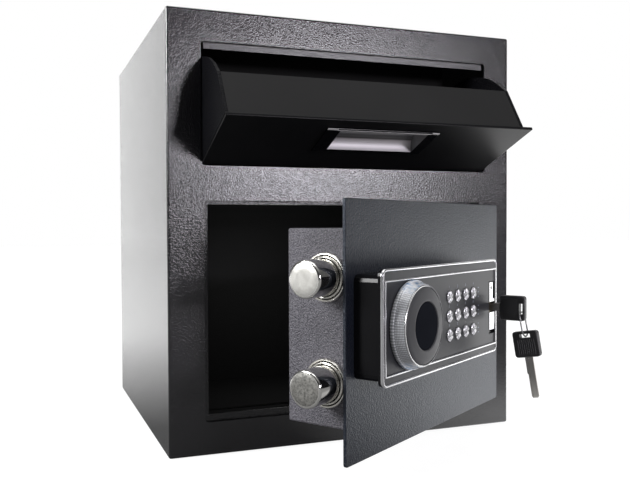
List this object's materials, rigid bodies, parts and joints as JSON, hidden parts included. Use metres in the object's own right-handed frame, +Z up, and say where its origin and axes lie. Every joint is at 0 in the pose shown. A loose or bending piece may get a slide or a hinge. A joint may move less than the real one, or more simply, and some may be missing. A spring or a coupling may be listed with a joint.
{
  "type": "drop-box safe",
  "caption": "Box-shaped steel drop-box safe with a tipping deposit hopper above a side-hinged door, keypad lock with turning knob, thrown bolts and a key lock.",
  "frame": {"origin": "centre of the cabinet's underside", "axes": "+Z up, +Y from the front face to the back, +X to the right as the front is faced"},
  "size_m": [0.4, 0.5682, 0.45],
  "materials": {
    "cabinet_coat": "black textured powder coat, semi-gloss",
    "door_coat": "black textured powder coat, semi-gloss",
    "casing_coat": "black textured powder coat, semi-gloss",
    "hopper_coat": "smooth black coat, semi-gloss",
    "cover_coat": "dark grey coat, satin",
    "zinc_steel": "zinc plated",
    "chrome": "polished",
    "gloss_black": "glossy moulded",
    "panel_face": "satin moulded",
    "clear_grip": "clear, silvered behind, knurled",
    "button_silver": "silver lacquered",
    "key_plastic": "moulded, fine grain",
    "key_steel": "nickel plated, milled",
    "circuit_green": "solder mask",
    "brass": "turned"
  },
  "bodies": {
    "cabinet": {"cabinet_body": "cabinet_coat", "back_panel": "cabinet_coat", "door_stop_frame": "cabinet_coat", "hopper_top_stop": "cabinet_coat", "hopper_bracket_left": "zinc_steel", "hopper_bracket_right": "zinc_steel", "hopper_stop_plate": "cabinet_coat", "drop_baffle": "cabinet_coat", "compartment_shelf": "cabinet_coat", "hinge_bracket_upper": "zinc_steel", "hinge_bracket_lower": "zinc_steel"},
    "hopper": {"hopper_front_panel": "hopper_coat", "hopper_cover_panel": "cover_coat", "hopper_cheek_left": "hopper_coat", "hopper_cheek_right": "hopper_coat", "hopper_rear_plate": "hopper_coat", "pull_handle_shell": "gloss_black", "pull_handle_liner": "chrome"},
    "door": {"door_plate": "door_coat", "lock_casing": "casing_coat", "bolt_collar_upper": "chrome", "bolt_collar_lower": "chrome", "hinge_arm_upper": "zinc_steel", "hinge_arm_lower": "zinc_steel", "keypad_housing": "gloss_black", "keypad_trim": "chrome", "keypad_inner_trim": "chrome", "keypad_face": "panel_face", "circuit_board": "circuit_green", "solenoid": "zinc_steel", "lock_cylinder": "brass", "key_escutcheon_upper": "chrome", "key_escutcheon_lower": "chrome", "battery_case": "key_plastic"},
    "knob": {"knob_grip": "clear_grip", "knob_face": "panel_face", "knob_cap": "gloss_black", "knob_spindle": "zinc_steel", "cam_disc": "zinc_steel"},
    "bolts": {"bolt_upper": "chrome", "bolt_lower": "chrome", "bolt_carriage": "zinc_steel"},
    "button_11_body": {"button_11": "button_silver"},
    "button_12_body": {"button_12": "button_silver"},
    "button_13_body": {"button_13": "button_silver"},
    "button_14_body": {"button_14": "button_silver"},
    "button_21_body": {"button_21": "button_silver"},
    "button_22_body": {"button_22": "button_silver"},
    "button_23_body": {"button_23": "button_silver"},
    "button_24_body": {"button_24": "button_silver"},
    "button_31_body": {"button_31": "button_silver"},
    "button_32_body": {"button_32": "button_silver"},
    "button_33_body": {"button_33": "button_silver"},
    "button_34_body": {"button_34": "button_silver"},
    "plug": {"lock_plug": "brass"},
    "key_1": {"key_1_blade": "key_steel", "key_1_head": "key_plastic"},
    "ring": {"key_ring": "key_steel"},
    "key_2": {"key_2_head": "key_plastic", "key_2_blade": "key_steel"}
  },
  "joints": [
    {"name": "door_swing", "type": "hinge", "parent": "cabinet", "child": "door", "pos_m": [0.189, -0.157, 0.145], "axis": [0, 0, 1], "range_deg": [-33.2, 56.8]},
    {"name": "hopper_tilt", "type": "hinge", "parent": "cabinet", "child": "hopper", "pos_m": [0, -0.1656, 0.3053], "axis": [1, 0, 0], "range_deg": [-68.9, 0]},
    {"name": "knob_turn", "type": "hinge", "parent": "door", "child": "knob", "pos_m": [-0.02574, -0.35847, 0.1476], "axis": [-0.5476, 0.8368, 0], "range_deg": [0, 90]},
    {"name": "bolt_slide", "type": "slide", "parent": "door", "child": "bolts", "axis": [0.8368, 0.5476, 0], "range_m": [0, 0.0275]},
    {"name": "button_11_press", "type": "slide", "parent": "door", "child": "button_11_body", "axis": [-0.5476, 0.8368, 0], "range_m": [0, 0.0012], "stiffness_N_per_m": 200, "springref_m": -0.001},
    {"name": "button_12_press", "type": "slide", "parent": "door", "child": "button_12_body", "axis": [-0.5476, 0.8368, 0], "range_m": [0, 0.0012], "stiffness_N_per_m": 200, "springref_m": -0.001},
    {"name": "button_13_press", "type": "slide", "parent": "door", "child": "button_13_body", "axis": [-0.5476, 0.8368, 0], "range_m": [0, 0.0012], "stiffness_N_per_m": 200, "springref_m": -0.001},
    {"name": "button_14_press", "type": "slide", "parent": "door", "child": "button_14_body", "axis": [-0.5476, 0.8368, 0], "range_m": [0, 0.0012], "stiffness_N_per_m": 200, "springref_m": -0.001},
    {"name": "button_21_press", "type": "slide", "parent": "door", "child": "button_21_body", "axis": [-0.5476, 0.8368, 0], "range_m": [0, 0.0012], "stiffness_N_per_m": 200, "springref_m": -0.001},
    {"name": "button_22_press", "type": "slide", "parent": "door", "child": "button_22_body", "axis": [-0.5476, 0.8368, 0], "range_m": [0, 0.0012], "stiffness_N_per_m": 200, "springref_m": -0.001},
    {"name": "button_23_press", "type": "slide", "parent": "door", "child": "button_23_body", "axis": [-0.5476, 0.8368, 0], "range_m": [0, 0.0012], "stiffness_N_per_m": 200, "springref_m": -0.001},
    {"name": "button_24_press", "type": "slide", "parent": "door", "child": "button_24_body", "axis": [-0.5476, 0.8368, 0], "range_m": [0, 0.0012], "stiffness_N_per_m": 200, "springref_m": -0.001},
    {"name": "button_31_press", "type": "slide", "parent": "door", "child": "button_31_body", "axis": [-0.5476, 0.8368, 0], "range_m": [0, 0.0012], "stiffness_N_per_m": 200, "springref_m": -0.001},
    {"name": "button_32_press", "type": "slide", "parent": "door", "child": "button_32_body", "axis": [-0.5476, 0.8368, 0], "range_m": [0, 0.0012], "stiffness_N_per_m": 200, "springref_m": -0.001},
    {"name": "button_33_press", "type": "slide", "parent": "door", "child": "button_33_body", "axis": [-0.5476, 0.8368, 0], "range_m": [0, 0.0012], "stiffness_N_per_m": 200, "springref_m": -0.001},
    {"name": "button_34_press", "type": "slide", "parent": "door", "child": "button_34_body", "axis": [-0.5476, 0.8368, 0], "range_m": [0, 0.0012], "stiffness_N_per_m": 200, "springref_m": -0.001},
    {"name": "key_turn", "type": "hinge", "parent": "door", "child": "plug", "pos_m": [0.12195, -0.26182, 0.1476], "axis": [-0.5476, 0.8368, 0], "range_deg": [0, 90]},
    {"name": "key_withdraw", "type": "slide", "parent": "plug", "child": "key_1", "axis": [0.5476, -0.8368, 0], "range_m": [0, 0.03]},
    {"name": "ring_swing", "type": "hinge", "parent": "key_1", "child": "ring", "pos_m": [0.13942, -0.28852, 0.1429], "axis": [0.8894, 0.4571, 0], "range_deg": [-30, 30]},
    {"name": "key_2_swing", "type": "hinge", "parent": "ring", "child": "key_2", "pos_m": [0.14148, -0.29252, 0.11976], "axis": [0.8894, 0.4571, 0], "range_deg": [-35, 35]}
  ],
  "couplings": [
    {"joint": "bolt_slide", "follows": "knob_turn", "m_per_rad": 0.0175}
  ]
}
